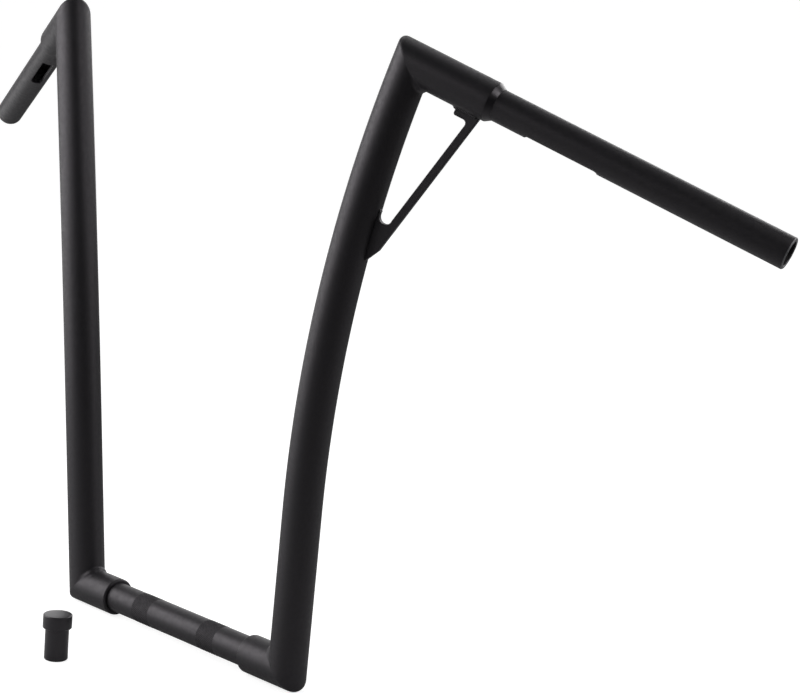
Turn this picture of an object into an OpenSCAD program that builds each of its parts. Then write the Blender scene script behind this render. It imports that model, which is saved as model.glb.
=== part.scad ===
// Tall welded motorcycle handlebar with mitred corners, plate braces and a bar-end plug.
// X runs along the clamp tube, Y points back to the rider and Z up.
// The origin is the middle of the clamp tube. Left and right are the rider's, so left is +X.

/* [Main tube] */
// Outside diameter of the uprights, the lower sleeves and the upper collars
main_od = 31.75; // [30:0.25:38]
// Wall of the uprights
main_wall = 3.05; // [2:0.05:4]

/* [Stance] */
// Distance between the two uprights' axes at the clamp tube
base_spacing = 274; // [220:2:340]
// Outward lean of the uprights' lower straight, in degrees
lean_out = 4.5; // [0:0.5:8]
// Forward lean of the uprights' lower straight, in degrees
lean_forward = 1.7; // [0:0.1:5]
// Length of the lower straight, from the clamp tube's axis to the start of the bend
straight_length = 132; // [60:2:200]
// Radius of the long bend, at the tube's axis
bend_radius = 1300; // [900:20:1800]
// Angle of the long bend
bend_angle = 16.5; // [10:0.5:22]
// Direction in which the uprights bend, from straight outward towards the rider
bend_heading = 33.5; // [10:0.5:60]

/* [Clamp tube] */
// Outside diameter of the clamp tube
clamp_od = 25.4; // [22:0.1:26]
// Wall of the clamp tube
clamp_wall = 3.05; // [2:0.05:4]
// Distance between the middles of the two knurled bands
knurl_spacing = 88.9; // [70:0.1:110]
// Width of one knurled band
knurl_width = 22; // [15:1:30]
// Height of the knurl's crests above the tube
knurl_height = 0.2; // [0.1:0.05:0.3]
// Length of the wiring outlet under the middle of the clamp tube
outlet_length = 38; // [20:1:50]
// Width of the wiring outlet
outlet_width = 12; // [8:0.5:15]

/* [Lower sleeves] */
// Length of a lower sleeve, from the upright's axis to its mouth
sleeve_length = 46.5; // [38:0.5:60]
// Chamfer at the mouth of a lower sleeve
sleeve_chamfer = 1.2; // [0.4:0.1:2]
// How far the clamp tube reaches into each sleeve
clamp_reach = 27; // [12:1:28]

/* [Upper collars] */
// Length of an upper collar, from the upright's axis to its mouth
collar_length = 76; // [70:1:100]
// Length of the taper at the mouth of a collar
collar_taper = 5; // [3:0.5:8]
// Wall left at the tip of the taper
taper_tip = 0.4; // [0.2:0.1:1]
// How far a grip tube reaches into its collar
grip_reach = 45; // [25:1:52]

/* [Grip tubes] */
// Outside diameter of the grip tubes
grip_od = 25.4; // [22:0.1:26]
// Wall of the grip tubes
grip_wall = 2.8; // [2:0.05:4]
// Length of a grip tube that stands out of its collar
grip_length = 243; // [180:1:300]
// Sweep of the grips towards the rider, in degrees from straight outward
grip_sweep = 24.2; // [10:0.2:40]
// Drop of the grips below level, in degrees
grip_drop = 20.8; // [5:0.2:35]
// Chamfer on the open end of a grip tube
end_chamfer = 0.8; // [0.3:0.1:1.2]

/* [Wiring slots] */
// Distance from the collar's mouth to the slot
slot_start = 29; // [10:1:60]
// Length of a slot
slot_length = 62; // [30:1:80]
// Width of a slot
slot_width = 10.5; // [6:0.5:14]
// Radius of a slot's corners
slot_corner = 2; // [1:0.25:2.75]
// Turn of a slot from straight down towards the front, in degrees
slot_turn = 10; // [0:1:40]

/* [Braces] */
// Thickness of the brace plate
brace_thickness = 4.8; // [3:0.2:8]
// Width of the brace's strap
strap_width = 4.6; // [3:0.2:7]
// Distance of the upper foot's inner end from the corner, along the collar
foot_start = 46.5; // [40:0.5:52]
// Distance of the upper foot's outer end from the corner, along the collar
foot_end = 65.5; // [62:0.5:69]
// Depth of the upper foot below the collar
foot_depth = 5.8; // [4:0.2:9]
// Distance of the lower foot's upper end from the corner, down the upright
lower_foot_start = 118.5; // [100:0.5:130]
// Distance of the lower foot's lower end from the corner, down the upright
lower_foot_end = 156; // [150:1:180]
// Distance from the corner to the strap's lower end, down the upright
strap_drop = 144; // [135:1:149]
// Distance of the strap's lower end from the upright
strap_stand = 10; // [9:0.5:14]
// Thickness of the lower foot's ends
leg_thickness = 3.4; // [2.4:0.2:4.4]
// Height of the lower foot's upper leg above the notch's round end
leg_height = 2.8; // [1:0.2:5]
// Radius between the strap and the upper foot
brace_fillet = 3; // [1:0.2:4]

/* [Corners] */
// Radius to which the outer edge of each mitred corner is dressed
dress_radius = 4.5; // [2:0.5:8]
// Radius of the weld bead's round section inside each corner
bead_radius = 2.6; // [1.5:0.1:4]
// How much tighter the bead's ring is than the corner's edge, so that its ends run out
bead_dive = 1.2; // [0.8:0.1:3]

/* [Bar-end plug] */
// Diameter of the plug's head
plug_head_d = 24; // [22:0.1:26]
// Height of the plug's head
plug_head_h = 11.5; // [6:0.5:16]
// Height of the plug's shank
plug_shank_h = 26.5; // [15:0.5:40]
// Radial clearance of the plug's shank in a grip tube
plug_clearance = 0.1; // [0.05:0.05:0.5]
// Radius round the foot of the shank
plug_round = 1.6; // [0.5:0.1:3]
// Chamfer round the plug's head
plug_chamfer = 0.6; // [0.3:0.1:1.5]
// Place of the plug to the right of the bar's middle
plug_right = 18; // [-60:2:60]
// Place of the plug in front of the bar
plug_front = 117; // [60:1:200]

/* [Assembly] */
// Radial clearance of the inner tubes in the sleeves and collars
sleeve_fit = 0.05; // [0.02:0.01:0.15]
// How much the seated ends of the inner tubes are turned down, on the radius
spigot_step = 0.3; // [0.2:0.05:0.6]

/* [Hidden] */

// Flats round a tube, and round a whole turn of the long bend
round_fn = 64;
bend_fn = 1440;
// Overshoot of a cutting shape past what it cuts
cut = 1;
powder_black = "#1b1b1d";
plug_black = "#222224";

main_r = main_od / 2;
clamp_r = clamp_od / 2;
grip_r = grip_od / 2;
grip_bore_r = grip_r - grip_wall;
// The inner tubes' seated ends, and the sleeves' and collars' bores round them
clamp_spigot_r = clamp_r - spigot_step;
grip_spigot_r = grip_r - spigot_step;
sleeve_bore_r = clamp_spigot_r + sleeve_fit;
collar_bore_r = grip_spigot_r + sleeve_fit;
// Extra length past each mitre that the mitre plane then cuts away
mitre_allowance = 2 * main_od;

function unit(v) = v / norm(v);

// Lower corner, where a sleeve's axis meets its upright's axis
lower_corner = [base_spacing / 2, 0, 0];
// Direction of the lower straight, and the level heading of the bend made square to it
lower_dir = unit([tan(lean_out), -tan(lean_forward), 1]);
heading = [cos(bend_heading), sin(bend_heading), 0];
bend_dir = unit(heading - (heading * lower_dir) * lower_dir);
bend_start = lower_corner + straight_length * lower_dir;
// Upper corner, where the upright's axis meets the collar's, and the upright's direction there
upper_corner = bend_start
    + bend_radius * (sin(bend_angle) * lower_dir + (1 - cos(bend_angle)) * bend_dir);
upper_dir = cos(bend_angle) * lower_dir + sin(bend_angle) * bend_dir;
// Direction of the collar and the grip tube
grip_dir = [
    cos(grip_drop) * cos(grip_sweep),
    cos(grip_drop) * sin(grip_sweep),
    -sin(grip_drop)
];
// The mitre planes halve the two corners
lower_mitre = unit([1, 0, 0] + lower_dir);
upper_mitre = unit(upper_dir + grip_dir);
// Square to the grip in the upright plane through it, and level and square to the grip
grip_up = unit([0, 0, 1] - (grip_dir[2]) * grip_dir);
grip_side = cross(grip_up, grip_dir);
// Square to the collar in the plane of the upper corner
corner_up = unit(upper_dir - (upper_dir * grip_dir) * grip_dir);

// Puts a shape's own x, y and z axes along three square directions at a place
module place(at, x, y, z) {
    multmatrix([
        [x[0], y[0], z[0], at[0]],
        [x[1], y[1], z[1], at[1]],
        [x[2], y[2], z[2], at[2]],
        [0, 0, 0, 1]
    ]) children();
}

// Stands a shape's z axis along a direction
module along(at, dir) {
    translate(at)
        rotate([0, acos(dir[2]), atan2(dir[1], dir[0])])
            children();
}

// Everything on the far side of a mitre plane
module mitre_waste(at, dir) {
    reach = 4 * mitre_allowance;
    along(at, dir)
        translate([-reach / 2, -reach / 2, 0])
            cube(reach);
}

module ring(outer, inner) {
    difference() {
        circle(r = outer, $fn = round_fn);
        circle(r = inner, $fn = round_fn);
    }
}

// What dressing takes off the outer edge of a corner between two tubes that leave it along
// a and b. The round stands slightly proud of the tubes' sides, so that it meets them in a line.
module dressing_waste(at, a, b) {
    proud = 0.1;
    half = acos(a * b) / 2;
    inward = unit(a + b);
    across = unit(a - b);
    middle = (main_r + proud - dress_radius) / sin(half);
    peak = main_r / sin(half) + main_od;
    flank = dress_radius + main_r;
    place(at, -inward, across, cross(-inward, across))
        translate([0, 0, -main_od])
            linear_extrude(2 * main_od)
                difference() {
                    polygon([
                        [middle, 0],
                        [middle + flank * sin(half), flank * cos(half)],
                        [peak, 0],
                        [middle + flank * sin(half), -flank * cos(half)]
                    ]);
                    translate([middle, 0])
                        circle(r = dress_radius, $fn = round_fn);
                }
}

// Weld bead in the inner edge of a corner between the upright and a tube on it. The tubes
// leave the corner along a and b. The bead's ring is tighter than the edge, so that all but
// a tapering bead lies within the two tubes.
module weld_bead(at, a, b) {
    half = acos(a * b) / 2;
    inward = unit(a + b);
    edge = main_r / sin(half);
    ring_r = main_r * sin(half) - bead_dive;
    normal = unit(cross(a, b));
    difference() {
        place(at + (edge - ring_r) * inward, -inward, -normal, cross(inward, normal))
            rotate_extrude($fn = round_fn)
                translate([ring_r, 0])
                    rotate(180)
                        circle(r = bead_radius, $fn = round_fn);
        upright_sweep() circle(r = main_r, $fn = round_fn);
    }
}

// The upright's section carried up the straight, round the long bend and on past the upper corner.
// Here z is the straight's axis, x the way it bends and the bend starts at the origin.
module upright_sweep() {
    below = straight_length + mitre_allowance;
    run_on = mitre_allowance / bend_radius * 180 / PI;
    place(bend_start, bend_dir, cross(lower_dir, bend_dir), lower_dir) {
        translate([0, 0, -below])
            linear_extrude(below)
                children();
        translate([bend_radius, 0, 0])
            mirror([1, 0, 0])
                rotate([90, 0, 0])
                    rotate_extrude(angle = bend_angle + run_on, $fn = bend_fn)
                        translate([bend_radius, 0])
                            children();
    }
}

module upright() {
    difference() {
        upright_sweep() ring(main_r, main_r - main_wall);
        mitre_waste(lower_corner, -lower_mitre);
        mitre_waste(upper_corner, upper_mitre);
        dressing_waste(lower_corner, [-1, 0, 0], lower_dir);
        dressing_waste(upper_corner, -upper_dir, grip_dir);
    }
}

// A sleeve on the clamp tube, from the mitre to its chamfered mouth
module lower_sleeve() {
    barrel = mitre_allowance + sleeve_length - sleeve_chamfer;
    difference() {
        union() {
            difference() {
                along(lower_corner + [mitre_allowance, 0, 0], [-1, 0, 0])
                    tipped_barrel(barrel, sleeve_chamfer, main_r - sleeve_chamfer);
                mitre_waste(lower_corner, lower_mitre);
                dressing_waste(lower_corner, [-1, 0, 0], lower_dir);
            }
            weld_bead(lower_corner, [-1, 0, 0], lower_dir);
        }
        along(lower_corner + [mitre_allowance + cut, 0, 0], [-1, 0, 0])
            cylinder(r = sleeve_bore_r, h = barrel + sleeve_chamfer + 2 * cut, $fn = round_fn);
    }
}

// A collar on the grip tube, from the mitre to its tapered mouth
module upper_collar() {
    barrel = mitre_allowance + collar_length - collar_taper;
    difference() {
        union() {
            difference() {
                along(upper_corner - mitre_allowance * grip_dir, grip_dir)
                    tipped_barrel(barrel, collar_taper, collar_bore_r + taper_tip);
                mitre_waste(upper_corner, -upper_mitre);
                dressing_waste(upper_corner, -upper_dir, grip_dir);
            }
            weld_bead(upper_corner, -upper_dir, grip_dir);
        }
        along(upper_corner - (mitre_allowance + cut) * grip_dir, grip_dir)
            cylinder(r = collar_bore_r, h = barrel + collar_taper + 2 * cut, $fn = round_fn);
    }
}

// A solid barrel of the main tube's size, with a tapered tip
module tipped_barrel(length, taper, tip_r) {
    cylinder(r = main_r, h = length, $fn = round_fn);
    translate([0, 0, length])
        cylinder(r1 = main_r, r2 = tip_r, h = taper, $fn = round_fn);
}

// A flat outline with round corners
module rounded_rectangle(length, width, radius) {
    square([length, width - 2 * radius], center = true);
    square([length - 2 * radius, width], center = true);
    for (x = [-1, 1], y = [-1, 1])
        translate([x * (length / 2 - radius), y * (width / 2 - radius)])
            circle(r = radius, $fn = 32);
}

module grip_tube() {
    whole = grip_reach + grip_length;
    difference() {
        along(upper_corner + (collar_length - grip_reach) * grip_dir, grip_dir)
            difference() {
                union() {
                    cylinder(r = grip_spigot_r, h = whole / 2, $fn = round_fn);
                    translate([0, 0, grip_reach])
                        cylinder(r = grip_r, h = grip_length - end_chamfer, $fn = round_fn);
                    translate([0, 0, whole - end_chamfer])
                        cylinder(
                            r1 = grip_r,
                            r2 = grip_r - end_chamfer,
                            h = end_chamfer,
                            $fn = round_fn
                        );
                }
                translate([0, 0, -cut])
                    cylinder(r = grip_bore_r, h = whole + 2 * cut, $fn = round_fn);
            }
        slot_cutter();
    }
}

// Cuts one wall of the grip tube, from its axis outwards
module slot_cutter() {
    out = -cos(slot_turn) * grip_up - sin(slot_turn) * grip_side;
    middle = collar_length + slot_start + slot_length / 2;
    place(upper_corner + middle * grip_dir, grip_dir, cross(out, grip_dir), out)
        linear_extrude(grip_r + cut)
            rounded_rectangle(slot_length, slot_width, slot_corner);
}

module clamp_tube_solid() {
    shoulder = base_spacing / 2 - sleeve_length;
    half = shoulder + clamp_reach;
    difference() {
        union() {
            along([-half, 0, 0], [1, 0, 0])
                cylinder(r = clamp_spigot_r, h = 2 * half, $fn = round_fn);
            along([-shoulder, 0, 0], [1, 0, 0])
                cylinder(r = clamp_r, h = 2 * shoulder, $fn = round_fn);
            for (side = [-1, 1])
                along([side * knurl_spacing / 2 - knurl_width / 2, 0, 0], [1, 0, 0])
                    cylinder(r = clamp_r + knurl_height, h = knurl_width, $fn = round_fn);
        }
        along([-half - cut, 0, 0], [1, 0, 0])
            cylinder(r = clamp_r - clamp_wall, h = 2 * (half + cut), $fn = round_fn);
        place([0, 0, 0], [1, 0, 0], [0, -1, 0], [0, 0, -1])
            linear_extrude(clamp_r + cut)
                rounded_rectangle(outlet_length, outlet_width, outlet_width / 2 - cut);
    }
}

// How far the upright's curve has come towards the brace, at a depth below the corner
function lag(drop) = drop * drop / (2 * bend_radius);

// Outline of the brace in the plane of the upper corner: x along the collar, y up the upright.
// The feet reach into both tubes, which are then cut out of the plate.
module brace_outline() {
    sunk = main_r / 2;
    foot_y = -main_r - foot_depth;
    // The strap's outer edge, from the upper foot to the lower one, and its direction
    outer_top = [foot_end, -main_r];
    outer_end = [main_r + lag(strap_drop) + strap_stand, -strap_drop];
    dir = unit(outer_end - outer_top);
    inner_top = outer_top + strap_width * [dir[1], -dir[0]];
    function inner_x(y) = inner_top[0] + dir[0] / dir[1] * (y - inner_top[1]);
    // Fillet between the upper foot and the strap
    corner = [inner_x(foot_y), foot_y];
    tangent = brace_fillet / tan(acos(-dir[0]) / 2);
    // Round notch between the strap and the lower foot's leg
    leg_x = main_r + lag(lower_foot_start) + leg_thickness;
    notch_y = -lower_foot_start - leg_height;
    notch_r = (inner_x(notch_y) - leg_x) / 2;
    difference() {
        polygon([
            [foot_start, -sunk],
            [foot_end, -sunk],
            outer_top,
            outer_end,
            [main_r + lag(lower_foot_end) + leg_thickness, -lower_foot_end],
            [sunk, -lower_foot_end],
            [sunk, -lower_foot_start],
            [leg_x, -lower_foot_start],
            [leg_x, notch_y],
            [inner_x(notch_y), notch_y],
            corner + tangent * dir,
            corner - [tangent, 0],
            [foot_start, foot_y]
        ]);
        translate(corner - [tangent, brace_fillet])
            circle(r = brace_fillet, $fn = 48);
        translate([leg_x + notch_r, notch_y])
            circle(r = notch_r, $fn = 48);
    }
}

module brace() {
    difference() {
        place(upper_corner, grip_dir, corner_up, cross(grip_dir, corner_up))
            translate([0, 0, -brace_thickness / 2])
                linear_extrude(brace_thickness)
                    brace_outline();
        upright_sweep() circle(r = main_r, $fn = round_fn);
        along(upper_corner, grip_dir)
            cylinder(r = main_r, h = collar_length, $fn = round_fn);
    }
}

module plug_solid() {
    shank_r = grip_bore_r - plug_clearance;
    head_r = plug_head_d / 2;
    translate([-plug_right, -plug_front, -main_r])
        rotate_extrude($fn = round_fn) {
            translate([0, plug_round])
                square([shank_r, plug_shank_h]);
            square([shank_r - plug_round, plug_shank_h]);
            intersection() {
                translate([shank_r - plug_round, plug_round])
                    circle(r = plug_round, $fn = 48);
                square([shank_r, plug_shank_h]);
            }
            translate([0, plug_shank_h])
                polygon([
                    [0, 0],
                    [head_r - plug_chamfer, 0],
                    [head_r, plug_chamfer],
                    [head_r, plug_head_h - plug_chamfer],
                    [head_r - plug_chamfer, plug_head_h],
                    [0, plug_head_h]
                ]);
        }
}

// The rider's left side as modelled, or its mirror image on the right
module on_side(right) {
    mirror([right ? 1 : 0, 0, 0]) children();
}

module clamp_tube() { color(powder_black) clamp_tube_solid(); }
module lower_sleeve_left() { color(powder_black) lower_sleeve(); }
module lower_sleeve_right() { color(powder_black) on_side(true) lower_sleeve(); }
module upright_left() { color(powder_black) upright(); }
module upright_right() { color(powder_black) on_side(true) upright(); }
module upper_collar_left() { color(powder_black) upper_collar(); }
module upper_collar_right() { color(powder_black) on_side(true) upper_collar(); }
module grip_tube_left() { color(powder_black) grip_tube(); }
module grip_tube_right() { color(powder_black) on_side(true) grip_tube(); }
module brace_left() { color(powder_black) brace(); }
module brace_right() { color(powder_black) on_side(true) brace(); }
module bar_end_plug() { color(plug_black) plug_solid(); }

clamp_tube();
lower_sleeve_left();
lower_sleeve_right();
upright_left();
upright_right();
upper_collar_left();
upper_collar_right();
grip_tube_left();
grip_tube_right();
brace_left();
brace_right();
bar_end_plug();
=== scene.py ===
import math
import bpy
import numpy as np
from mathutils import Matrix


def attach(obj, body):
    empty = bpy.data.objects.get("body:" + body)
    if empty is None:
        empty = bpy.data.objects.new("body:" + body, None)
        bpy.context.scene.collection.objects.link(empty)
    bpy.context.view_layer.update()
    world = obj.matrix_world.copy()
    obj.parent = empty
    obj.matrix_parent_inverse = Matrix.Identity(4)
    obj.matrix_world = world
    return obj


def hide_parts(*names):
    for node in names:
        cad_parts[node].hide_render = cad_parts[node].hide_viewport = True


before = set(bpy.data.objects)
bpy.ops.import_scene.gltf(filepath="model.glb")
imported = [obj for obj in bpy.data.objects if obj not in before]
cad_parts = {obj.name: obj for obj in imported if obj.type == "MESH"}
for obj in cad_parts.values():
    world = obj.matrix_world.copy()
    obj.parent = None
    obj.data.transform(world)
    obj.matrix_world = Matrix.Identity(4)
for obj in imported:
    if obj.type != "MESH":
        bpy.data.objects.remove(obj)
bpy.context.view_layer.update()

mm = 0.001
sharpAngle = math.radians(32)  # edges that turn more than this stay crisp


def linearColour(hexText):  # sRGB hex to linear RGBA, along the sRGB curve
    parts = [int(hexText[i:i + 2], 16) / 255 for i in (0, 2, 4)]
    return [c / 12.92 if c <= 0.04045 else ((c + 0.055) / 1.055) ** 2.4 for c in parts] + [1.0]


def unit(v):  # the vector over its own length
    v = np.asarray(v, float)
    return v / np.linalg.norm(v)


def dotRows(points, v):  # dot product of each point with a vector, or with its own vector
    return (points * v).sum(-1)


def unchanged(points):  # as drawn
    return points


def mirrored(points):  # across the plane between the two sides, X = 0
    return points * np.array([-1.0, 1.0, 1.0])


sides = {"left": unchanged, "right": mirrored}  # the rider's left and right


def gridFaces(rows, columns, closeRows=False, closeColumns=False):
    # quads of a grid of points, numbered row by row
    r = np.arange(rows if closeRows else rows - 1)
    c = np.arange(columns if closeColumns else columns - 1)
    r, c = [a.ravel() for a in np.meshgrid(r, c, indexing="ij")]
    rNext, cNext = (r + 1) % rows, (c + 1) % columns
    return np.stack([r * columns + c, rNext * columns + c, rNext * columns + cNext, r * columns + cNext], 1)


def finishPiece(name, mesh, material, replaced):
    # smooth faces between crisp edges, carried by the one rigid body
    mesh.validate()
    mesh.shade_smooth()
    mesh.set_sharp_from_angle(angle=sharpAngle)
    mesh.materials.append(material)
    piece = bpy.data.objects.new(name, mesh)
    bpy.context.scene.collection.objects.link(piece)
    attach(piece, "root")
    if replaced:
        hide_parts(*replaced)
    return piece


def makePiece(name, patches, material, replaced=(), weldPoints=1e-6):
    # patches are (points, faces) pairs in metres; coincident points are merged and faces turned outwards
    points, faces, start = [], [], 0
    for patchPoints, patchFaces in patches:
        points.append(patchPoints.reshape(-1, 3))
        faces.append(patchFaces + start)
        start += len(points[-1])
    points, faces = np.concatenate(points), np.concatenate(faces)
    steps = np.round(points / weldPoints).astype(np.int64)
    _, first, index = np.unique(steps, axis=0, return_index=True, return_inverse=True)
    points, faces = points[first], index.reshape(-1)[faces]
    corner = [points[faces[:, k]] for k in range(4)]
    volume = sum(dotRows(corner[0], np.cross(corner[a], corner[b])).sum() for a, b in ((1, 2), (2, 3)))
    if volume < 0:
        faces = faces[:, ::-1]
    cleaned = [[p for k, p in enumerate(face) if p != face[k - 1]] for face in faces.tolist()]
    mesh = bpy.data.meshes.new(name)
    mesh.from_pydata(points.tolist(), [], [face for face in cleaned if len(face) > 2])
    return finishPiece(name, mesh, material, replaced)


def bothSides(name, patches, material, node=None):
    # one piece on each side; the node it stands for ends in the side's name
    pieces = []
    for side, placed in sides.items():
        replaced = [f"{node}_{side}"] if node else ()
        placedPatches = [(placed(points), faces) for points, faces in patches]
        pieces.append(makePiece(f"{name}_{side}", placedPatches, material, replaced=replaced))
    return pieces


def dressFaces(piece, material, chosen):
    # gives one more material to the faces whose centres, in mm, are chosen
    polygons = piece.data.polygons
    centres, index = np.empty(len(polygons) * 3), np.empty(len(polygons), np.int32)
    polygons.foreach_get("center", centres)
    polygons.foreach_get("material_index", index)
    piece.data.materials.append(material)
    index[chosen(centres.reshape(-1, 3) / mm)] = len(piece.data.materials) - 1
    polygons.foreach_set("material_index", index)


def dressBoth(pieces, material, chosen):
    # the chosen faces of the left piece, and the same ones of its mirror image
    for piece, placed in zip(pieces, sides.values()):
        dressFaces(piece, material, lambda centres: chosen(placed(centres)))


def addNode(tree, kind, settings=None, links=None):
    # settings are sockets by name or number and node properties; links are socket: (node, output)
    node = tree.nodes.new(kind)
    for key, value in (settings or {}).items():
        if isinstance(key, int) or key in node.inputs:
            node.inputs[key].default_value = value
        else:
            setattr(node, key, value)
    for key, (source, output) in (links or {}).items():
        tree.links.new(source.outputs[output], node.inputs[key])
    return node


def newMaterial(name):  # a material without nodes, and its tree
    material = bpy.data.materials.new(name)
    material.use_nodes = True
    material.node_tree.nodes.clear()
    return material, material.node_tree


powder = {
    "colour": "0e0e10",       # black with the slightest blue
    "paleColour": "131315",   # where the film is thin over a crest
    "toneRange": (0.35, 0.75),  # heights of the grain, 0 to 1, between which the colour pales
    "roughness": 0.50,
    "roughnessSpread": (-0.04, 0.05),  # from the ripple's hollows to its crests
    "rippleRange": (0.3, 0.7),  # heights of the ripple, 0 to 1, that count as hollow and crest
    "tint": "fff7ff",         # its reflections lean to violet
    "grain": 0.55,            # mm across one grain of the cured film
    "grainNoise": {"Detail": 2.0, "Roughness": 0.55},
    "grainHeight": 0.020,     # mm
    "ripple": 3.2,            # mm across the slow orange peel under the grain
    "rippleNoise": {"Detail": 1.0, "Roughness": 0.4},
    "rippleHeight": 0.030,    # mm
}
# over the knurl the film is rougher and its crests stay dark
knurlPowder = {**powder, "roughness": 0.66, "paleColour": "101012"}
# over a turned taper it flows out smooth and catches sharper lights
taperPowder = {**powder, "roughness": 0.34, "grainHeight": 0.006, "rippleHeight": 0.012}
# painted highlight: the chamfered rim is coloured pale grey for the bright rim where it mirrors the white
# backdrop
paintedRimHighlight = {**powder, "colour": "5c5c5e", "paleColour": "7a7a7c", "roughness": 0.3}
# inside the tubes there is mill scale, a dull grain, and its nearly black colour is also painted shade for
# the deep bore seen through the slot
millScaleAndBoreShade = {**powder, "colour": "050505", "paleColour": "090909", "roughness": 0.8}


def powderCoat(name, settings):
    # baked polyester powder: a matt black film with a fine pebbled grain over soft orange peel
    material, tree = newMaterial(name)
    place = addNode(tree, "ShaderNodeTexCoord")
    grain = addNode(tree, "ShaderNodeTexNoise",
                    {"Scale": 1 / (settings["grain"] * mm), **settings["grainNoise"]},
                    {"Vector": (place, "Object")})
    ripple = addNode(tree, "ShaderNodeTexNoise",
                     {"Scale": 1 / (settings["ripple"] * mm), **settings["rippleNoise"]},
                     {"Vector": (place, "Object")})
    tone = addNode(tree, "ShaderNodeValToRGB", {}, {"Fac": (grain, "Fac")})
    stops = zip(tone.color_ramp.elements, settings["toneRange"], ("colour", "paleColour"))
    for stop, position, key in stops:
        stop.position, stop.color = position, linearColour(settings[key])
    hollow, crest = settings["rippleRange"]
    sheen = [settings["roughness"] + change for change in settings["roughnessSpread"]]
    gloss = addNode(tree, "ShaderNodeMapRange",
                    {"From Min": hollow, "From Max": crest, "To Min": sheen[0], "To Max": sheen[1]},
                    {"Value": (ripple, "Fac")})
    slow = addNode(tree, "ShaderNodeBump",
                   {"Strength": 1.0, "Distance": settings["rippleHeight"] * mm},
                   {"Height": (ripple, "Fac")})
    fine = addNode(tree, "ShaderNodeBump",
                   {"Strength": 1.0, "Distance": settings["grainHeight"] * mm},
                   {"Height": (grain, "Fac"), "Normal": (slow, "Normal")})
    skin = addNode(tree, "ShaderNodeBsdfPrincipled", {"Specular Tint": linearColour(settings["tint"])},
                   {"Base Color": (tone, "Color"), "Roughness": (gloss, "Result"),
                    "Normal": (fine, "Normal")})
    addNode(tree, "ShaderNodeOutputMaterial", {}, {"Surface": (skin, "BSDF")})
    return material


anodised = {
    "colour": "1b1b1d",
    "roughness": 0.32,
    "tint": "fff7ff",
    "turning": 0.25,  # mm between the lathe's feed marks
    "turningHeight": 0.006,  # mm
}


def anodisedAluminium(name, settings):
    # turned aluminium dyed black: an even satin with the faint rings of the lathe
    material, tree = newMaterial(name)
    place = addNode(tree, "ShaderNodeTexCoord")
    height = addNode(tree, "ShaderNodeSeparateXYZ", {}, {"Vector": (place, "Object")})
    feed = addNode(tree, "ShaderNodeMath", {"operation": "MULTIPLY", 1: 1 / (settings["turning"] * mm)},
                   {0: (height, "Z")})
    rings = addNode(tree, "ShaderNodeTexNoise", {"noise_dimensions": "1D", "Scale": 1.0, "Detail": 1.0})
    tree.links.new(feed.outputs[0], rings.inputs["W"])
    bump = addNode(tree, "ShaderNodeBump", {"Strength": 1.0, "Distance": settings["turningHeight"] * mm},
                   {"Height": (rings, "Fac")})
    skin = addNode(tree, "ShaderNodeBsdfPrincipled",
                   {"Base Color": linearColour(settings["colour"]), "Roughness": settings["roughness"],
                    "Specular Tint": linearColour(settings["tint"])},
                   {"Normal": (bump, "Normal")})
    addNode(tree, "ShaderNodeOutputMaterial", {}, {"Surface": (skin, "BSDF")})
    return material


satinBlack = powderCoat("powder_coat_black", powder)
knurlBlack = powderCoat("powder_coat_over_knurl", knurlPowder)
taperBlack = powderCoat("powder_coat_over_turned_taper", taperPowder)
rimHighlightCoat = powderCoat("powder_coat_with_painted_rim_highlight", paintedRimHighlight)
boreShadeBlack = powderCoat("mill_scale_and_painted_bore_shade", millScaleAndBoreShade)
plugBlack = anodisedAluminium("anodised_plug", anodised)
print("materials ready")


bar = {  # in millimetres, as is every shape until its piece is made
    "radius": 15.875,      # uprights, sleeves and collars
    "wall": 3.05,
    "spacing": 274,        # between the uprights' axes at the clamp tube
    "leanOut": 4.5,        # degrees
    "leanForward": 1.7,
    "straight": 132,       # lower straight, up to the long bend
    "bendRadius": 1300,
    "bendAngle": 16.5,
    "bendHeading": 33.5,
    "gripSweep": 24.2,
    "gripDrop": 20.8,
    "dress": 4.5,          # outer edge of a mitre, ground round
    "bead": 2.6,           # weld inside a mitre
    "beadDive": 1.2,
    "beadSoft": 1.8,       # width over which the bead runs into the crease
    "beadRipples": ((0.05, 18, 0.0), (0.04, 7, 1.0)),  # height, count round the bead, and phase
    "creaseFillet": 2.2,   # film and weld toe in the rest of the crease
    "skinReach": 8,        # how far a corner's skin may lie from the plain tube
    "around": 144,         # points round a tube
}
tubeMesh = {  # rows of points along the tubes
    "cornerRows": 64, "cornerShare": 0.09, "cornerCrowding": 1.2,  # close together at an upright's ends
    "cornerLength": 60,    # mm from an upright's end within which the skin follows the corner
    "middleRows": 170, "boreRows": 60,
    "barrelRows": 90, "barrelCrowding": 1.15, "barrelCorner": 40, "barrelBoreRows": 12,
    "halvings": 34, "planeRounds": 12, "skinRounds": 10,  # until the points lie still
}
r = bar["radius"]
lowerCorner = np.array([bar["spacing"] / 2, 0, 0])
lowerDir = unit([math.tan(math.radians(bar["leanOut"])), -math.tan(math.radians(bar["leanForward"])), 1])
headingAngle = math.radians(bar["bendHeading"])
levelHeading = np.array([math.cos(headingAngle), math.sin(headingAngle), 0])
bendDir = unit(levelHeading - (levelHeading @ lowerDir) * lowerDir)
bendNormal = np.cross(lowerDir, bendDir)
bendStart = lowerCorner + bar["straight"] * lowerDir
bendCentre = bendStart + bar["bendRadius"] * bendDir
turn = math.radians(bar["bendAngle"])
upperCorner = bendCentre + bar["bendRadius"] * (math.sin(turn) * lowerDir - math.cos(turn) * bendDir)
upperDir = math.cos(turn) * lowerDir + math.sin(turn) * bendDir
sweep, drop = math.radians(bar["gripSweep"]), math.radians(bar["gripDrop"])
gripDir = np.array([math.cos(drop) * math.cos(sweep), math.cos(drop) * math.sin(sweep), -math.sin(drop)])
uprightLength = bar["straight"] + bar["bendRadius"] * turn
sleeveDir = np.array([-1.0, 0, 0])


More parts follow.
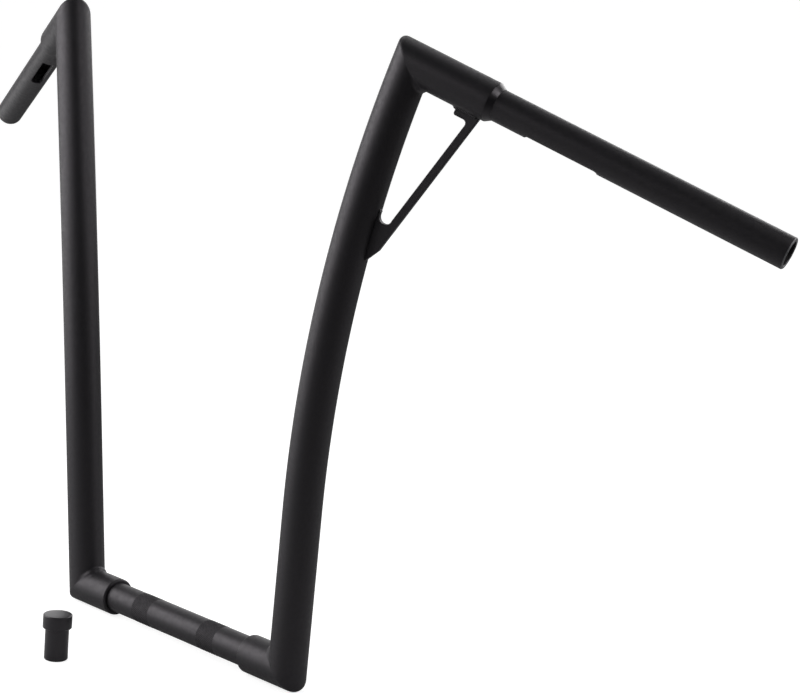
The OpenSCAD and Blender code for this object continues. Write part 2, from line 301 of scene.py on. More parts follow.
def uprightLine(s):
    # axis point, tangent and the direction square to it in the bend's plane, at a length s from the
    # lower corner: a straight, then an arc of the bend's radius
    angle = np.clip((s - bar["straight"]) / bar["bendRadius"], 0, None)[..., None]
    straightPart = np.minimum(s, bar["straight"])[..., None]
    tangent = np.cos(angle) * lowerDir + np.sin(angle) * bendDir
    square = np.cos(angle) * bendDir - np.sin(angle) * lowerDir
    point = (lowerCorner + straightPart * lowerDir
             + bar["bendRadius"] * (np.sin(angle) * lowerDir + (1 - np.cos(angle)) * bendDir))
    return point, tangent, square


def fromLine(points, start, direction):
    # distance outside a straight tube of the main radius: the length of the part of the point's vector that
    # is square to the axis, less the radius; and that part's direction
    v = points - start
    v = v - dotRows(v, direction)[..., None] * direction
    distance = np.linalg.norm(v, axis=-1)
    return distance - r, v / np.maximum(distance, 1e-9)[..., None]


def fromBend(points):
    # the same for the bent stretch of the upright, which is part of a torus
    v = points - bendCentre
    side = dotRows(v, bendNormal)
    flat = v - side[..., None] * bendNormal
    away = np.linalg.norm(flat, axis=-1)
    off = away - bar["bendRadius"]
    distance = np.hypot(off, side)
    direction = off[..., None] * flat / away[..., None] + side[..., None] * bendNormal
    return distance - r, direction / np.maximum(distance, 1e-9)[..., None]


def rolledRound(d1, n1, d2, n2, radius):
    # a ball of the radius rolled along the edge between two walls rounds it: beyond the ball's centre
    # on both walls the distance is measured from that centre, elsewhere the farther wall counts
    cosine = dotRows(n1, n2)
    a, b = d1 + radius, d2 + radius
    sine2 = np.maximum(1 - cosine ** 2, 1e-6)
    fromCentre = np.sqrt(np.maximum(a * a + b * b - 2 * a * b * cosine, 0) / sine2) - radius
    inZone = (a > b * cosine) & (b > a * cosine) & (a > 0) & (b > 0)
    return np.where(inZone, fromCentre, np.maximum(d1, d2))


def torchRipple(angle):  # waves round the bead, where the torch stopped
    return sum(height * np.cos(angle * count + phase) for height, count, phase in bar["beadRipples"])


class Corner:
    # a mitred corner between the upright and a straight tube, which leave it along dirA and dirB
    def __init__(self, at, dirA, dirB, uprightDistance):
        self.at, self.dirB, self.uprightDistance = at, dirB, uprightDistance
        self.inward = unit(dirA + dirB)
        self.normal = unit(np.cross(dirA, dirB))
        self.mitre = unit(dirA - dirB)  # points to the upright's side
        half = math.acos(dirA @ dirB) / 2
        self.beadRing = r * math.sin(half) - bar["beadDive"]
        self.beadCentre = at + (r / math.sin(half) - self.beadRing) * self.inward

    def beadDistance(self, p):
        # distance outside the weld, a ring in the mitre plane
        v = p - self.beadCentre
        across = dotRows(v, self.mitre)
        inPlane = v - across[..., None] * self.mitre
        away = np.linalg.norm(inPlane, axis=-1)
        angle = np.arctan2(dotRows(v, self.normal), dotRows(v, self.inward))
        return np.hypot(away - self.beadRing, across) - bar["bead"] - torchRipple(angle)

    def outside(self, p):
        # distance outside the finished corner: dressed round on its outer side, welded on its inner one
        d1, n1 = self.uprightDistance(p)
        d2, n2 = fromLine(p, self.at, self.dirB)
        outer1 = dotRows(n1, self.inward) < 0
        outer2 = dotRows(n2, self.inward) < 0
        own = np.where(dotRows(p - self.at, self.mitre) > 0, d1, d2)
        dressed = np.where(outer1 & outer2, rolledRound(d1, n1, d2, n2, bar["dress"]), own)
        crease = -rolledRound(-d1, -n1, -d2, -n2, bar["creaseFillet"])
        soft, bead = bar["beadSoft"], self.beadDistance(p)
        blend = np.clip(0.5 + 0.5 * (bead - crease) / soft, 0, 1)
        welded = bead * (1 - blend) + crease * blend - soft * blend * (1 - blend)
        return np.where(~outer1 & ~outer2, welded, dressed)


lowerJoint = Corner(lowerCorner, lowerDir, sleeveDir, lambda p: fromLine(p, lowerCorner, lowerDir))
upperJoint = Corner(upperCorner, -upperDir, gripDir, fromBend)


def skinRadius(axisPoint, radial, joint):
    # how far out along each spoke the finished corner's skin lies, by halving
    low = np.full(radial.shape[:-1], r - bar["skinReach"])
    high = np.full(radial.shape[:-1], r + bar["skinReach"])
    for _ in range(tubeMesh["halvings"]):
        middle = (low + high) / 2
        inside = joint.outside(axisPoint + middle[..., None] * radial) < 0
        low, high = np.where(inside, middle, low), np.where(inside, high, middle)
    return (low + high) / 2


def spokes(square, other):  # unit vectors all round, from one direction towards the other
    angle = np.linspace(0, 2 * math.pi, bar["around"], endpoint=False)
    return np.cos(angle)[:, None] * square + np.sin(angle)[:, None] * other


def uprightShell():
    # tube wall swept up the upright; both ends lie in the mitre planes, and near them the skin
    # follows the dressed and welded corners
    def at(s, radius):
        point, _, square = uprightLine(s)
        radial = spokes(square, bendNormal)
        return point, radial, point + radius[..., None] * radial

    def endAt(joint, s, radius):  # length at which each spoke's tip meets the mitre plane
        for _ in range(tubeMesh["planeRounds"]):
            _, _, tip = at(s, radius)
            _, tangent, _ = uprightLine(s)
            s = s - dotRows(tip - joint.at, joint.mitre) / dotRows(tangent, joint.mitre)
        return s

    boreRadius = r - bar["wall"]
    ends = []
    for joint, s in ((lowerJoint, 0.0), (upperJoint, uprightLength)):
        s, radius = np.full(bar["around"], s), np.full(bar["around"], r)
        for _ in range(tubeMesh["skinRounds"]):
            s = endAt(joint, s, radius)
            point, radial, _ = at(s, radius)
            radius = skinRadius(point, radial, joint)
        ends.append((s, endAt(joint, s, np.full(bar["around"], boreRadius))))
    cornerShare = tubeMesh["cornerShare"]
    near = cornerShare * np.linspace(0, 1, tubeMesh["cornerRows"]) ** tubeMesh["cornerCrowding"]
    middle = cornerShare + (1 - 2 * cornerShare) * np.linspace(0, 1, tubeMesh["middleRows"])
    share = np.concatenate([near[:-1], middle, 1 - near[-2::-1]])
    s = ends[0][0] + share[:, None] * (ends[1][0] - ends[0][0])
    radius = np.full(s.shape, r)
    rowLength, cornerLength = s.mean(1), tubeMesh["cornerLength"]
    for joint, rows in ((lowerJoint, rowLength < cornerLength),
                        (upperJoint, rowLength > uprightLength - cornerLength)):
        point, radial, _ = at(s[rows], radius[rows])
        radius[rows] = skinRadius(point, radial, joint)
    outer = at(s, radius)[2]
    innerShare = np.linspace(1, 0, tubeMesh["boreRows"])
    sInner = ends[0][1] + innerShare[:, None] * (ends[1][1] - ends[0][1])
    inner = at(sInner, np.full(sInner.shape, boreRadius))[2]
    points = np.concatenate([outer, inner])
    return [(points * mm, gridFaces(len(points), bar["around"], True, True))]


def barrelShell(joint, boreRadius, tip):
    # sleeve or collar: from the mitre plane to its tip, whose outline is a list of (length, radius),
    # and back along the bore
    axis = joint.dirB
    radial = spokes(np.cross(axis, joint.normal), joint.normal)
    slope = dotRows(radial, joint.mitre) / (axis @ joint.mitre)
    radius = np.full(bar["around"], r)
    for _ in range(tubeMesh["planeRounds"]):
        start = -radius * slope
        radius = skinRadius(joint.at + start[:, None] * axis, radial, joint)
    start = -radius * slope
    near = np.linspace(0, 1, tubeMesh["barrelRows"]) ** tubeMesh["barrelCrowding"]
    length = start + near[:, None] * (tip[0][0] - start)
    outer = skinRadius(joint.at + length[..., None] * axis, radial, joint)
    outer[length > tubeMesh["barrelCorner"]] = r
    rows = [joint.at + length[..., None] * axis + outer[..., None] * radial]
    for along, size in tip:
        rows.append((joint.at + along * axis + size * radial)[None])
    back = np.linspace(0, 1, tubeMesh["barrelBoreRows"])[:, None]
    bore = tip[-1][0] + back * (-boreRadius * slope - tip[-1][0])
    rows.append(joint.at + bore[..., None] * axis + boreRadius * radial)
    points = np.concatenate(rows)
    return [(points * mm, gridFaces(len(points), bar["around"], True, True))]


def roundedEdge(before, corner, after, radius, steps=4):
    # a small round at a profile's corner, as points on a quarter curve between its two sides
    corner = np.array(corner, float)
    start = corner + radius * unit(np.array(before, float) - corner)
    end = corner + radius * unit(np.array(after, float) - corner)
    t = np.linspace(0, 1, steps + 1)[:, None]
    curve = (1 - t) ** 2 * start + 2 * t * (1 - t) * corner + t ** 2 * end
    return [tuple(p) for p in curve]


def softProfile(points, radius):
    # rounds every inner corner of a profile; its first and last points stay
    result = [tuple(map(float, points[0]))]
    for before, corner, after in zip(points, points[1:], points[2:]):
        result += roundedEdge(before, corner, after, radius)
    return result + [tuple(map(float, points[-1]))]


sleeve = {
    "length": 46.5, "chamfer": 1.2, "bore": 12.45,
    "edge": 0.45,     # round at the mouth's corners
    "mouthLip": 0.3,  # flat left inside the mouth
}
collar = {
    "length": 76, "taper": 5, "bore": 12.45, "edge": 0.35,
    "tipWall": 0.4,   # wall left at the tip of the taper
}

bothSides("upright_tube", uprightShell(), satinBlack, "upright")
sleeveTip = softProfile([
    (sleeve["length"] - 3 * sleeve["chamfer"], r),
    (sleeve["length"] - sleeve["chamfer"], r),
    (sleeve["length"], r - sleeve["chamfer"]),
    (sleeve["length"], sleeve["bore"] + sleeve["mouthLip"])], sleeve["edge"])
sleeveTip.append((sleeve["length"], sleeve["bore"]))
bothSides("sleeve", barrelShell(lowerJoint, sleeve["bore"], sleeveTip), satinBlack, "lower_sleeve")
taperStart = collar["length"] - collar["taper"]
collarTip = softProfile([
    (taperStart - collar["taper"], r),
    (taperStart, r),
    (collar["length"], collar["bore"] + collar["tipWall"])], collar["edge"])
collarTip.append((collar["length"], collar["bore"]))
collars = bothSides("collar", barrelShell(upperJoint, collar["bore"], collarTip), satinBlack, "upper_collar")
dressBoth(collars, taperBlack, lambda centres: dotRows(centres - upperCorner, gripDir) > taperStart)
print("uprights, sleeves and collars made")


def slotOutline(length, width, corner, alongCount, acrossCount):
    # rounded rectangle, from the middle of its long side at -width/2: long side, short side, long, short;
    # each side takes its half of the two round corners next to it
    def side(halfSpan, halfOther, count):
        t = np.linspace(-1, 1, count + 1)[:-1] * halfSpan
        flat = halfSpan - corner
        over = np.clip(np.abs(t) - flat, 0, corner) / corner  # share of the way round the corner
        angle = over * math.pi / 4
        x = np.sign(t) * (np.minimum(np.abs(t), flat) + corner * np.sin(angle))
        return x, -(halfOther - corner * (1 - np.cos(angle)))

    x1, y1 = side(length / 2, width / 2, alongCount)
    y2, x2 = side(width / 2, length / 2, acrossCount)
    return np.concatenate([np.stack([x1, y1], 1), np.stack([-x2, y2], 1),
                           np.stack([-x1, -y1], 1), np.stack([x2, -y2], 1)])


slotMesh = {
    "along": 60,          # points along a slot
    "outerRings": 40, "innerRings": 14, "crowding": 1.5,  # rings round it, closer together at its edge
    "edgeSteps": (0.25, 0.5, 0.75, 1.0),  # shares of the quarter round from the skin into the slot
}


def slottedTube(tube):
    # tube along an axis, with a profile at each end and one slot in its wall. Round the slot the wall is
    # a grid that runs from the slot's outline to a rectangle of wall that goes all the way round
    start, axis, out = tube["start"], tube["axis"], tube["out"]
    side = np.cross(axis, out)
    around, outerR, innerR = tube["around"], tube["radius"], tube["bore"]
    middle, edge, along = tube["slotMiddle"], tube["slotEdge"], slotMesh["along"]
    turns = np.linspace(-math.pi, math.pi, around + 1)
    first, last = middle - tube["patchHalf"], middle + tube["patchHalf"]
    lengths = np.linspace(first, last, along + 1)
    frameLength = np.concatenate([lengths[:-1], np.full(around, last),
                                  lengths[:0:-1], np.full(around, first)])
    frameTurn = np.concatenate([np.full(along, -math.pi), turns[:-1],
                                np.full(along, math.pi), turns[:0:-1]])

    def wrap(length, turnAngle, radius):  # a point at a length, a turn round the axis and a radius
        radius = np.broadcast_to(radius, np.shape(turnAngle))
        return (start + length[..., None] * axis
                + (radius * np.cos(turnAngle))[..., None] * out
                + (radius * np.sin(turnAngle))[..., None] * side)

    def outline(grow):  # lengths and turns of the slot's edge, grown outwards
        o = slotOutline(tube["slotLength"] + 2 * grow, tube["slotWidth"] + 2 * grow,
                        tube["slotCorner"] + grow, along, around)
        return middle + o[:, 0], np.arcsin(o[:, 1] / outerR)

    def patch(radius, grow, rings):  # from the slot's outline to the rectangle
        holeLength, holeTurn = outline(grow)
        share = np.linspace(0, 1, rings)[:, None] ** slotMesh["crowding"]
        length = holeLength + share * (frameLength - holeLength)
        angle = holeTurn + share * (frameTurn - holeTurn)
        return wrap(length, angle, radius)

    def rings(rows):  # plain wall; each row is a length, and one radius or a radius per spoke
        radius = np.stack([np.broadcast_to(row[1], around + 1) for row in rows])
        length = np.broadcast_to(np.array([row[0] for row in rows], float)[:, None], radius.shape)
        return wrap(length, np.broadcast_to(turns, radius.shape), radius)

    outerPatch = patch(outerR, edge, slotMesh["outerRings"])
    innerPatch = patch(innerR, 0.0, slotMesh["innerRings"])
    wallRows = [outerPatch[0]]
    for share in slotMesh["edgeSteps"]:
        growth = edge * (1 - math.sin(share * math.pi / 2))
        depth = outerR - edge * (1 - math.cos(share * math.pi / 2))
        wallRows.append(wrap(*outline(growth), depth))
    wallRows = np.stack(wallRows + [innerPatch[0]])
    count = wallRows.shape[1]
    patches = [(outerPatch, gridFaces(len(outerPatch), count, closeColumns=True)),
               (wallRows[::-1], gridFaces(len(wallRows), count, closeColumns=True)),
               (innerPatch[::-1], gridFaces(len(innerPatch), count, closeColumns=True))]
    for rows in (tube["startProfile"] + [(first, outerR)],
                 [(last, outerR)] + tube["endProfile"],
                 [(first, innerR), (tube["startProfile"][0][0], innerR)],
                 [(tube["endProfile"][-1][0], innerR), (last, innerR)]):
        patches.append((rings(rows)[::-1], gridFaces(len(rows), around + 1)))
    return [(points * mm, faces) for points, faces in patches]


grip = {
    "radius": 12.7, "bore": 9.9, "length": 243, "around": 128,
    "reach": 45, "spigot": 12.4,   # the stretch inside the collar, and its radius
    "chamfer": 0.8, "edge": 0.3, "lip": 0.5, "lead": 6,  # at the open end
    "slotStart": 29, "slotLength": 62, "slotWidth": 10.5, "slotCorner": 2, "slotEdge": 0.5,
    "slotTurn": 10,                # degrees from straight down
    "patchHalf": 50,               # the wall round the slot, up and down the tube
    "boreMargin": 0.1,
}
gripUp = unit(np.array([0, 0, 1]) - gripDir[2] * gripDir)
gripSide = np.cross(gripUp, gripDir)
slotTurn = math.radians(grip["slotTurn"])
gripStart, gripEnd = collar["length"] - grip["reach"], collar["length"] + grip["length"]
gripTube = {
    **grip, "start": upperCorner, "axis": gripDir,
    "out": -math.cos(slotTurn) * gripUp - math.sin(slotTurn) * gripSide,
    "slotMiddle": collar["length"] + grip["slotStart"] + grip["slotLength"] / 2,
    "startProfile": [(gripStart, grip["bore"]), (gripStart, grip["spigot"]),
                     (collar["length"], grip["spigot"]), (collar["length"], grip["radius"])],
    "endProfile": softProfile([
        (gripEnd - grip["lead"], grip["radius"]),
        (gripEnd - grip["chamfer"], grip["radius"]),
        (gripEnd, grip["radius"] - grip["chamfer"]),
        (gripEnd, grip["bore"] + grip["edge"]),
        (gripEnd - grip["lip"], grip["bore"])], grip["edge"]),
}
grips = bothSides("grip_bar", slottedTube(gripTube), satinBlack, "grip_tube")
# the bore's faces take the nearly black colour: mill scale and painted shade inside the tube
dressBoth(grips, boreShadeBlack, lambda centres:
          fromLine(centres, upperCorner, gripDir)[0] + r < grip["bore"] + grip["boreMargin"])
# the grip's chamfered rim and end face take the pale grey of the painted highlight
dressBoth(grips, rimHighlightCoat, lambda centres:
          dotRows(centres - upperCorner, gripDir) > gripEnd - grip["chamfer"])
print("grip tubes made")


clamp = {
    "radius": 12.7, "bore": 9.65, "spigot": 12.4, "reach": 27, "around": 264,
    "bandSpacing": 88.9, "bandWidth": 22, "crest": 0.2, "groove": 0.16,
    "pitch": 1.5,       # mm between the knurl's grooves, round the tube
    "sharpness": 1.6,   # above 1 the crests are flat
    "fade": 0.6,        # mm in which the knurl runs out at a band's edge
    "bandRows": 75, "bandEdge": 0.3,
    "slotMiddle": 0, "slotLength": 38, "slotWidth": 12, "slotCorner": 5, "slotEdge": 0.5, "patchHalf": 28,
}


def knurlBand(middle):
    # two families of grooves cross at right angles: the skin stands at the crest between them and falls
    # to the lower of the two
    half = clamp["bandWidth"] / 2
    turns = np.linspace(-math.pi, math.pi, clamp["around"] + 1)
    lengths = np.linspace(-half, half, clamp["bandRows"])[:, None]
    grooves = round(2 * math.pi * clamp["radius"] / (clamp["pitch"] * math.sqrt(2)))
    step = 2 * math.pi * clamp["radius"] / grooves

    def ridge(sign):  # 0 in a groove, 1 on a crest
        phase = turns * grooves / (2 * math.pi) + sign * lengths / step
        return np.clip(clamp["sharpness"] * (1 - np.abs(phase % 1 - 0.5) * 2), 0, 1)

    height = np.minimum(ridge(1), ridge(-1))
    fade = np.clip((half - np.abs(lengths)) / clamp["fade"], 0, 1)
    low, high = clamp["radius"] - clamp["groove"] * fade, clamp["radius"] + clamp["crest"] * fade
    rows = list(zip(middle + lengths[:, 0], low + (high - low) * height))
    margin = half + clamp["bandEdge"]
    return [(middle - margin, clamp["radius"])] + rows + [(middle + margin, clamp["radius"])]


clampShoulder = bar["spacing"] / 2 - sleeve["length"]
clampEnd = clampShoulder + clamp["reach"]
clampTube = {
    **clamp, "start": np.zeros(3), "axis": np.array([1.0, 0, 0]), "out": np.array([0, 0, -1.0]),
    "startProfile": [(-clampEnd, clamp["bore"]), (-clampEnd, clamp["spigot"]),
                     (-clampShoulder, clamp["spigot"]), (-clampShoulder, clamp["radius"])]
    + knurlBand(-clamp["bandSpacing"] / 2),
    "endProfile": knurlBand(clamp["bandSpacing"] / 2)
    + [(clampShoulder, clamp["radius"]), (clampShoulder, clamp["spigot"]),
       (clampEnd, clamp["spigot"]), (clampEnd, clamp["bore"])],
}
clampPiece = makePiece("clamp_bar", slottedTube(clampTube), satinBlack, replaced=["clamp_tube"])
dressFaces(clampPiece, knurlBlack, lambda centres: (
    (np.abs(np.abs(centres[:, 0]) - clamp["bandSpacing"] / 2) < clamp["bandWidth"] / 2)
    & (np.hypot(centres[:, 1], centres[:, 2]) > clamp["bore"] + 1)))
print("clamp tube and knurled bands made")


brace = {
    "thickness": 4.8,
    "strap": 4.6, "strapOut": 1.5,            # width, and how much wider it is on its outer side
    "footStart": 46.5, "footEnd": 65.5, "footDepth": 5.8, "footRound": 1.8,  # foot under the collar
    "lowerStart": 115.6, "lowerEnd": 156,     # foot on the upright
    "leg": 3.4, "legHeight": 2.1,             # its short leg beside the notch
    "strapDrop": 144, "strapStand": 10, "fillet": 3,
    "ramp": 7, "toe": 1.4, "sunk": 1.6,       # the feet run out under the tubes' skin
    "edge": 0.5,                              # bevel round the plate
}
cornerUp = unit(upperDir - (upperDir @ gripDir) * gripDir)
plateNormal = np.cross(gripDir, cornerUp)


def lag(depth):  # how far the upright has curved towards the brace, at a depth below the corner
    return depth ** 2 / (2 * bar["bendRadius"])


def arcPoints(centre, radius, fromAngle, toAngle, count):  # points of an arc, angles in degrees
    angle = np.radians(np.linspace(fromAngle, toAngle, count))
    return np.stack([centre[0] + radius * np.cos(angle), centre[1] + radius * np.sin(angle)], 1)


def braceOutline():
    # plate's edge in the corner's plane: x along the collar, y up the upright
    b = brace
    topSink = -r + b["sunk"]
    outerTop = np.array([b["footEnd"] + b["strapOut"], -r])
    outerEnd = np.array([r + lag(b["strapDrop"]) + b["strapStand"] + b["strapOut"], -b["strapDrop"]])
    direction = unit(outerEnd - outerTop)
    innerTop = outerTop + (b["strap"] + b["strapOut"]) * np.array([direction[1], -direction[0]])

    def innerX(y):  # the strap's inner side
        return innerTop[0] + direction[0] / direction[1] * (y - innerTop[1])

    footY = -r - b["footDepth"]
    tangent = b["fillet"] / math.tan(math.acos(-direction[0]) / 2)
    slope = math.degrees(math.atan2(direction[0], -direction[1]))  # square to the strap, on its inner side
    filletCentre = np.array([innerX(footY) - tangent, footY - b["fillet"]])
    filletArc = arcPoints(filletCentre, b["fillet"], slope, 90, count=9)
    footCentre = (b["footStart"] + b["footRound"], footY + b["footRound"])
    footCorner = arcPoints(footCentre, b["footRound"], 270, 180, count=7)
    legX = r + lag(b["lowerStart"]) + b["leg"]
    notchY = -b["lowerStart"] - b["legHeight"]
    notchRadius = (innerX(notchY) - legX) / 2
    notch = arcPoints((legX + notchRadius, notchY), notchRadius, 180, 360, count=13)
    depths = np.linspace(b["lowerEnd"], b["lowerStart"] - b["ramp"], 8)
    sunkSide = np.stack([r + lag(depths) - b["sunk"], -depths], 1)
    return np.concatenate([
        [[b["footStart"], -r - b["toe"]], [b["footStart"] - b["ramp"], topSink], [outerTop[0], topSink]],
        [outerTop, outerEnd, [r + lag(b["lowerEnd"]) + b["leg"], -b["lowerEnd"]]],
        sunkSide, [[legX, -b["lowerStart"]]],
        notch, filletArc, footCorner])


def placeInCorner(flat, height):  # plate coordinates to the bar's
    return upperCorner + flat[:, :1] * gripDir + flat[:, 1:2] * cornerUp + height * plateNormal


def bracePlate(side, placed):
    # the outline on both faces of the plate, joined by its edge, with a bevel all round
    outline = braceOutline()
    half, count = brace["thickness"] / 2, len(outline)
    points = placed(np.concatenate([placeInCorner(outline, -half), placeInCorner(outline, half)]) * mm)
    edges = [[k, (k + 1) % count, count + (k + 1) % count, count + k] for k in range(count)]
    faces = [list(range(count))[::-1], list(range(count, 2 * count))] + edges
    if side == "right":
        faces = [face[::-1] for face in faces]
    name = f"brace_plate_{side}"
    plate = bpy.data.meshes.new(name)
    plate.from_pydata(points.tolist(), [], faces)
    piece = finishPiece(name, plate, satinBlack, [f"brace_{side}"])
    bevel = piece.modifiers.new("soft_edges", "BEVEL")
    bevel.width, bevel.segments, bevel.limit_method = brace["edge"] * mm, 3, "ANGLE"
    bevel.angle_limit = math.radians(40)


weld = {
    "radius": 1.5,
    "ripple": 0.06, "step": 1.3,   # swelling, and mm between the drops
    "tip": 0.03,                   # share of the radius left at a closed end
    "ring": 14,                    # points round a bead
    "before": 2, "beforeLower": 3, "short": 0.5,  # how far a bead starts before its foot, and ends short
    "endStand": 0.3,               # the cross bead at the lower foot's end stands this far out
    "rows": 90, "rowsLower": 130, "rowsEnd": 24,
    "aside": (0.31, 0.52, 0.79),   # a direction that no bead follows
}


def beadAlong(path):
    # weld bead: a round section carried along a path, swelling where each drop set, closed at its ends
    tangent = np.gradient(path, axis=0)
    tangent /= np.linalg.norm(tangent, axis=1)[:, None]
    square = np.cross(tangent, weld["aside"])
    square /= np.linalg.norm(square, axis=1)[:, None]
    other = np.cross(tangent, square)
    length = np.concatenate([[0], np.cumsum(np.linalg.norm(np.diff(path, axis=0), axis=1))])
    endShare = np.clip(np.minimum(length, length[-1] - length) / weld["radius"], 0, 1)
    cap = np.sqrt(np.clip(1 - (1 - endShare) ** 2, weld["tip"] ** 2, 1))
    swelling = 1 + weld["ripple"] * np.cos(2 * math.pi * length / weld["step"])
    angle = np.linspace(0, 2 * math.pi, weld["ring"], endpoint=False)[None, :, None]
    ring = np.cos(angle) * square[:, None] + np.sin(angle) * other[:, None]
    points = path[:, None] + (weld["radius"] * cap * swelling)[:, None, None] * ring
    caps = [np.repeat(end[:, None], weld["ring"], 1) for end in (path[:1], path[-1:])]
    points = np.concatenate([caps[0], points, caps[1]])
    return points * mm, gridFaces(len(points), weld["ring"], closeColumns=True)


def braceWelds():
    # a bead down each side of both feet, where the plate's faces meet the round of the tubes
    b, w = brace, weld
    half = b["thickness"] / 2
    depth = math.sqrt(r * r - half * half)
    x = np.linspace(b["footStart"] - w["before"], b["footEnd"] - w["short"], w["rows"])
    upper = np.stack([x, np.full(len(x), -depth)], 1)
    y = np.linspace(b["lowerStart"] - w["beforeLower"], b["lowerEnd"] - w["short"], w["rowsLower"])
    lower = np.stack([lag(y) + depth, -y], 1)
    beads = [beadAlong(placeInCorner(foot, height)) for height in (-half, half) for foot in (upper, lower)]
    across = np.linspace(-half, half, w["rowsEnd"])[:, None]
    end = np.array([[lag(b["lowerEnd"]) + depth + w["endStand"], -b["lowerEnd"]]])
    return beads + [beadAlong(placeInCorner(end, 0) + across * plateNormal)]


for side, placed in sides.items():
    bracePlate(side, placed)
bothSides("brace_weld", braceWelds(), satinBlack)
print("braces and their welds made")


plug = {
    "headRadius": 12, "headHeight": 11.5, "shankRadius": 9.8, "shankHeight": 26.5,
    "footRound": 1.6, "chamfer": 0.6, "edge": 0.25, "lead": 4,
    "right": 18, "front": 117,     # where it stands, from the middle of the clamp tube
    "around": 160, "pole": 0.02,   # points round it, and the radius of the ring round each pole
}


def plugProfile():  # (height, radius) from the foot's middle over the head to its middle
    p = plug
    top = p["shankHeight"] + p["headHeight"]
    footMiddle = [(0, p["pole"]), (0, p["shankRadius"] - p["footRound"])]
    foot = [(p["footRound"] * (1 - math.cos(a)), p["shankRadius"] - p["footRound"] * (1 - math.sin(a)))
            for a in np.linspace(0, math.pi / 2, 9)]
    head = softProfile([
        (p["shankHeight"] - p["lead"], p["shankRadius"]),
        (p["shankHeight"], p["shankRadius"]),
        (p["shankHeight"], p["headRadius"] - p["chamfer"]),
        (p["shankHeight"] + p["chamfer"], p["headRadius"]),
        (top - p["chamfer"], p["headRadius"]),
        (top, p["headRadius"] - p["chamfer"]),
        (top, p["lead"])], p["edge"])
    return footMiddle + foot[1:] + head + [(top, p["pole"])]


def plugSurface():
    # the profile turned round the plug's axis, closed at both poles
    turns = np.linspace(0, 2 * math.pi, plug["around"], endpoint=False)
    height, size = [column[:, None] for column in np.array(plugProfile()).T]
    points = np.stack([size * np.cos(turns) - plug["right"], size * np.sin(turns) - plug["front"],
                       np.broadcast_to(height - r, (len(height), plug["around"]))], -1)
    poles = [np.repeat(end.mean(1, keepdims=True), plug["around"], 1) for end in (points[:1], points[-1:])]
    points = np.concatenate([poles[0], points, poles[1]])
    return [(points * mm, gridFaces(len(points), plug["around"], closeColumns=True))]


makePiece("plug", plugSurface(), plugBlack, replaced=["bar_end_plug"])
print("plug made")


studio = {
    "floorHeight": -15.9,      # mm, just under the bar and the plug
    "floorSize": 40,           # m
    "nearFloor": "c2c2c2",     # paper round the bar; farther off its colour darkens as painted shade for the dark of the room
    "farFloor": "6a6a6a",
    "nearGlow": 0.78,          # what the camera alone sees added to the floor, near the bar
    "farGlow": 1.0,
    "nearReach": 0.3,          # m
    "farReach": 1.1,
    "glossShare": 0.03,        # how much of the white the black satin mirrors; the rest of the room is dark
    "worldColour": "303032",   # dim room that the bar mirrors
    "cameraPlace": (1526.8, -1239.3, 605.2),   # mm
    "azimuth": 48.539,         # degrees from +Y towards -X
    "elevation": 6.806,
    "roll": 3.456,
    "focal": 2388.5,           # pixels
    "middle": (305.48, 196.28),  # pixels, where the lens looks
    "frameSize": (800, 693),
    "sensor": 36,
    "clipEnd": 100,            # m
}
panels = [  # name, place, target, width and height in metres, watts
    ("left_softbox", (-1.1, -1.0, 0.5), (0.0, 0.0, 0.25), 1.8, 1.7, 28),
    ("near_left", (-0.72, -0.8, 0.85), (-0.2, 0.0, 0.4), 0.6, 0.5, 2.7),
    ("reflector_left", (-1.2, 0.15, 0.12), (-0.35, 0.08, 0.45), 0.7, 0.3, 0.85),
    ("front_left", (-0.05, -1.5, 1.1), (0.1, 0.0, 0.45), 0.8, 0.6, 4.5),
    ("back_sweep", (-1.9, 1.7, 0.7), (0.0, 0.0, 0.2), 2.6, 1.6, 18),
    ("right_fill", (1.3, 1.2, 0.7), (0.0, 0.0, 0.35), 1.0, 1.4, 6),
    ("right_high", (1.25, 0.35, 1.2), (0.25, 0.05, 0.45), 0.7, 0.5, 4.5),
    ("back_high", (0.0, 1.8, 1.15), (0.2, 0.0, 0.45), 1.7, 0.9, 14),
    ("top_light", (-0.5, 0.5, 1.7), (0.0, 0.0, 0.3), 1.2, 1.2, 6),
]


def whiteSeen(tree):
    # how much of the white backdrop a ray sees: all of it from the camera or through glass, and a
    # share of it in a mirror image
    path = addNode(tree, "ShaderNodeLightPath")
    seen = addNode(tree, "ShaderNodeMath", {"operation": "MULTIPLY_ADD", 1: studio["glossShare"]},
                   {0: (path, "Is Glossy Ray"), 2: (path, "Is Camera Ray")})
    return addNode(tree, "ShaderNodeMath", {"operation": "MAXIMUM"},
                   {0: (seen, "Value"), 1: (path, "Is Transmission Ray")})


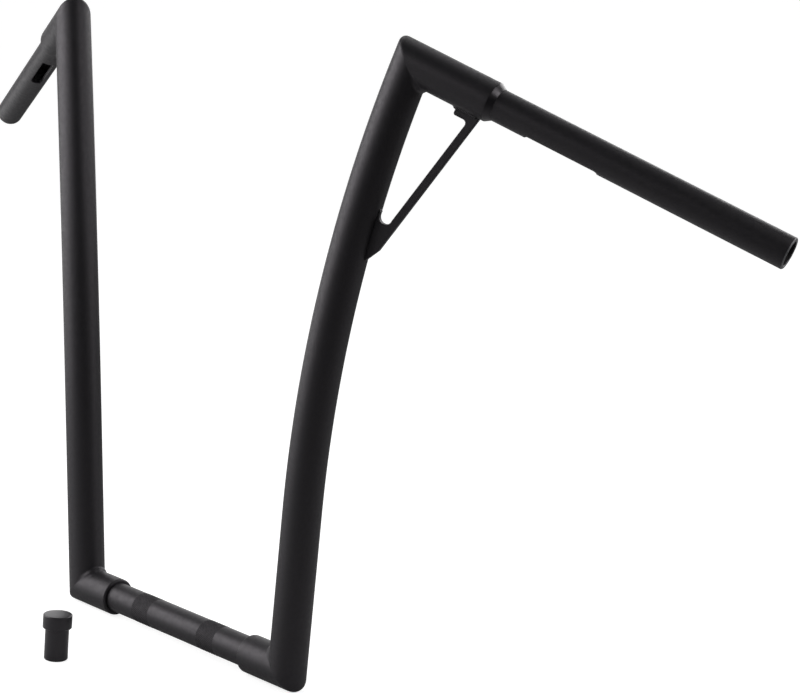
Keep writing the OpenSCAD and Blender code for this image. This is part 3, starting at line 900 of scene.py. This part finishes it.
def addFloor():
    # paper sweep: pale, with a glow for the camera only, so that it keeps the soft shadow
    size = studio["floorSize"] / 2
    z = studio["floorHeight"] * mm
    sheet = bpy.data.meshes.new("floor")
    sheet.from_pydata([(-size, -size, z), (size, -size, z), (size, size, z), (-size, size, z)], [],
                      [(0, 1, 2, 3)])
    material, tree = newMaterial("paper_sweep")
    place = addNode(tree, "ShaderNodeTexCoord")
    away = addNode(tree, "ShaderNodeVectorMath", {"operation": "LENGTH"}, {0: (place, "Object")})
    reach = {"From Min": studio["nearReach"], "From Max": studio["farReach"]}
    share = addNode(tree, "ShaderNodeMapRange", reach, {"Value": (away, "Value")})
    # painted shade: the paper's colour darkens with distance from the bar
    shades = {6: linearColour(studio["nearFloor"]), 7: linearColour(studio["farFloor"])}
    tone = addNode(tree, "ShaderNodeMix", {"data_type": "RGBA", **shades}, {0: (share, "Result")})
    paper = addNode(tree, "ShaderNodeBsdfDiffuse", {}, {"Color": (tone, 2)})
    spread = addNode(tree, "ShaderNodeMapRange",
                     {**reach, "To Min": studio["nearGlow"], "To Max": studio["farGlow"]},
                     {"Value": (away, "Value")})
    strength = addNode(tree, "ShaderNodeMath", {"operation": "MULTIPLY"},
                       {0: (whiteSeen(tree), "Value"), 1: (spread, "Result")})
    glow = addNode(tree, "ShaderNodeEmission", {"Color": (1, 1, 1, 1)}, {"Strength": (strength, "Value")})
    both = addNode(tree, "ShaderNodeAddShader", {}, {0: (paper, "BSDF"), 1: (glow, "Emission")})
    addNode(tree, "ShaderNodeOutputMaterial", {}, {"Surface": (both, "Shader")})
    sheet.materials.append(material)
    floor = bpy.data.objects.new("floor", sheet)
    bpy.context.scene.collection.objects.link(floor)


def addWorld():
    world = bpy.data.worlds.new("room")
    world.use_nodes = True
    tree = world.node_tree
    tree.nodes.clear()
    room = addNode(tree, "ShaderNodeBackground", {"Color": linearColour(studio["worldColour"])})
    white = addNode(tree, "ShaderNodeBackground", {"Color": (1, 1, 1, 1)})
    mixed = addNode(tree, "ShaderNodeMixShader", {},
                    {0: (whiteSeen(tree), "Value"), 1: (room, "Background"), 2: (white, "Background")})
    addNode(tree, "ShaderNodeOutputWorld", {}, {"Surface": (mixed, "Shader")})
    bpy.context.scene.world = world


def poseMatrix(columns, place):  # matrix of an object at a place, with its three axes as columns
    return Matrix([[axis[k] for axis in columns] + [place[k]] for k in range(3)] + [[0, 0, 0, 1]])


def addPanel(name, place, target, width, height, power):
    lamp = bpy.data.lights.new(name, "AREA")
    lamp.shape, lamp.size, lamp.size_y, lamp.energy = "RECTANGLE", width, height, power
    panel = bpy.data.objects.new(name, lamp)
    away = unit(np.array(place) - np.array(target))
    side = unit(np.cross([0, 0, 1], away))
    panel.matrix_world = poseMatrix((side, np.cross(away, side), away), place)
    panel.visible_camera = False
    bpy.context.scene.collection.objects.link(panel)


def addCamera():
    s = studio
    azimuth, elevation, roll = (math.radians(s[k]) for k in ("azimuth", "elevation", "roll"))
    look = np.array([-math.sin(azimuth) * math.cos(elevation), math.cos(azimuth) * math.cos(elevation),
                     -math.sin(elevation)])
    level = np.array([math.cos(azimuth), math.sin(azimuth), 0])
    up = np.cross(level, look)
    right = math.cos(roll) * level + math.sin(roll) * up
    top = -math.sin(roll) * level + math.cos(roll) * up
    lens = bpy.data.cameras.new("lens")
    width, height = s["frameSize"]
    lens.sensor_width = s["sensor"]
    lens.lens = s["focal"] * s["sensor"] / width
    lens.shift_x = (width / 2 - s["middle"][0]) / width
    lens.shift_y = (s["middle"][1] - height / 2) / width
    lens.clip_end = s["clipEnd"]
    camera = bpy.data.objects.new("camera", lens)
    camera.matrix_world = poseMatrix((right, top, -look), np.array(s["cameraPlace"]) * mm)
    bpy.context.scene.collection.objects.link(camera)
    bpy.context.scene.camera = camera


addFloor()
addWorld()
for panel in panels:
    addPanel(*panel)
addCamera()
bpy.context.scene.view_settings.view_transform = "Standard"
print("studio ready")
